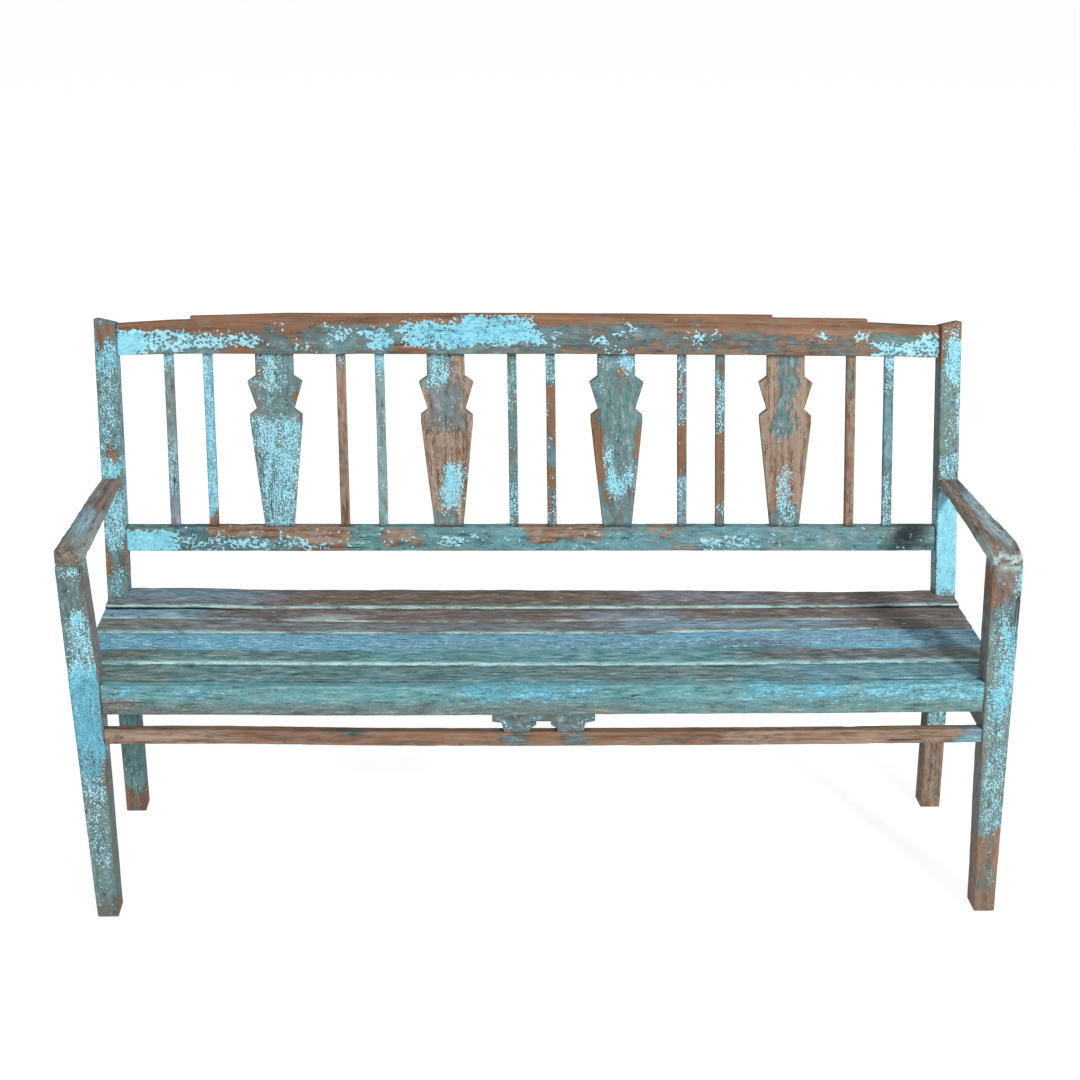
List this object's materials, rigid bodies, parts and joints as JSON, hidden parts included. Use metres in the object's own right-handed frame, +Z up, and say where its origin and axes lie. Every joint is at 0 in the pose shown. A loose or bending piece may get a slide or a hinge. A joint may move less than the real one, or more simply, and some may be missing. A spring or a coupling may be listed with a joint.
{
  "type": "garden bench",
  "caption": "Long wooden bench with a slatted seat, flat armrests, square legs and a raked back of shaped splats between paired spindles; worn turquoise paint.",
  "frame": {"origin": "on the floor under the middle of the bench's overall box", "axes": "+X along the bench, to the right of someone facing its front; +Y from the front of the seat towards the back; +Z up"},
  "size_m": [1.5776, 0.5162, 0.945],
  "materials": {
    "turquoise_paint": "teak under crackled, flaking turquoise paint, matt",
    "grey_teal_paint": "teak under a rubbed grey-teal undercoat, matt",
    "worn_teak": "teak rubbed bare, with remains of turquoise and grey-teal paint, matt",
    "seat_teak": "weathered teak with streaks of blue, lavender and olive paint, matt",
    "raw_teak": "unpainted teak, matt"
  },
  "bodies": {
    "root": {"armrest_left": "worn_teak", "armrest_right": "worn_teak", "back_spindle_01": "grey_teal_paint", "back_spindle_02": "grey_teal_paint", "back_spindle_03": "grey_teal_paint", "back_spindle_04": "grey_teal_paint", "back_spindle_05": "grey_teal_paint", "back_spindle_06": "grey_teal_paint", "back_spindle_07": "grey_teal_paint", "back_spindle_08": "grey_teal_paint", "back_spindle_09": "grey_teal_paint", "back_spindle_10": "grey_teal_paint", "back_splat_1": "worn_teak", "back_splat_2": "worn_teak", "back_splat_3": "worn_teak", "back_splat_4": "worn_teak", "crest_rail": "turquoise_paint", "front_apron": "grey_teal_paint", "front_leg_left": "turquoise_paint", "front_leg_right": "turquoise_paint", "front_stretcher": "worn_teak", "lower_back_rail": "turquoise_paint", "rear_post_left": "turquoise_paint", "rear_post_right": "turquoise_paint", "rear_seat_rail": "raw_teak", "seat_bearer": "raw_teak", "seat_slat_1": "seat_teak", "seat_slat_2": "seat_teak", "seat_slat_3": "seat_teak", "seat_slat_4": "seat_teak", "seat_slat_5": "seat_teak", "seat_slat_6": "seat_teak", "side_seat_rail_left": "raw_teak", "side_seat_rail_right": "raw_teak", "slat_peg_1_left": "raw_teak", "slat_peg_1_right": "raw_teak", "slat_peg_2_left": "raw_teak", "slat_peg_2_right": "raw_teak", "slat_peg_3_left": "raw_teak", "slat_peg_3_right": "raw_teak", "slat_peg_4_left": "raw_teak", "slat_peg_4_right": "raw_teak", "slat_peg_5_left": "raw_teak", "slat_peg_5_right": "raw_teak", "slat_peg_6_left": "raw_teak", "slat_peg_6_right": "raw_teak", "stretcher_bracket": "grey_teal_paint"}
  },
  "joints": []
}
